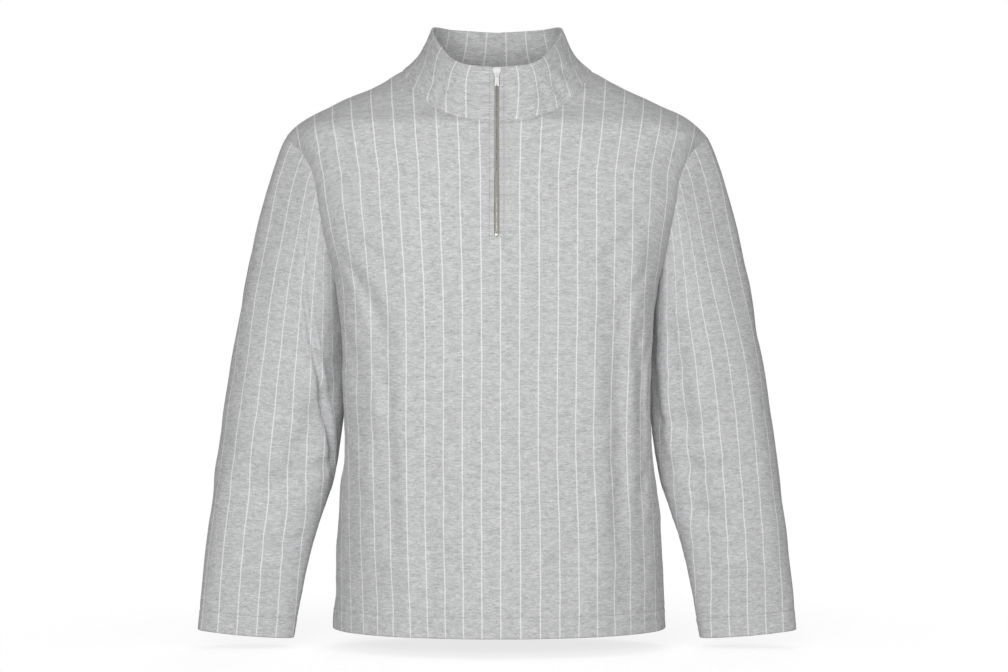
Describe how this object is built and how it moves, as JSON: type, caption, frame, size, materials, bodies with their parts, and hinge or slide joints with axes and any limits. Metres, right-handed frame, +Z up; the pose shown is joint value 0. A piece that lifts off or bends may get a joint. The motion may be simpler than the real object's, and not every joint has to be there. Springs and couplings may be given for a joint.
{
  "type": "quarter zip sweatshirt",
  "caption": "Long-sleeved jersey sweatshirt with a stand collar and a short zip at the neck, hollow and filled out as when worn.",
  "frame": {"origin": "middle of the neck's base, between the high points of the shoulders, where a wearer carries the garment", "axes": "+Z up towards the collar, -Y out of the chest, +X to the right of someone looking at the chest"},
  "size_m": [0.73, 0.2403, 0.749],
  "materials": {
    "jersey": "matte heather grey knit with fine white pinstripes",
    "zip_tape": "matte woven tape",
    "zip_teeth": "dark oxidised metal teeth",
    "bright_metal": "bright polished metal"
  },
  "bodies": {
    "garment": {"front": "jersey", "back": "jersey", "sleeve_left": "jersey", "sleeve_right": "jersey", "collar": "jersey", "zip_tape_left": "zip_tape", "zip_tape_right": "zip_tape", "zip_chain": "zip_teeth", "zip_stop": "bright_metal", "zip_slider": "bright_metal"},
    "pull": {"zip_pull": "bright_metal"}
  },
  "joints": [
    {"name": "zip_pull_hinge", "type": "hinge", "parent": "garment", "child": "pull", "pos_m": [0, -0.08091, -0.01103], "axis": [-1, 0, 0], "range_deg": [0, 150]}
  ]
}
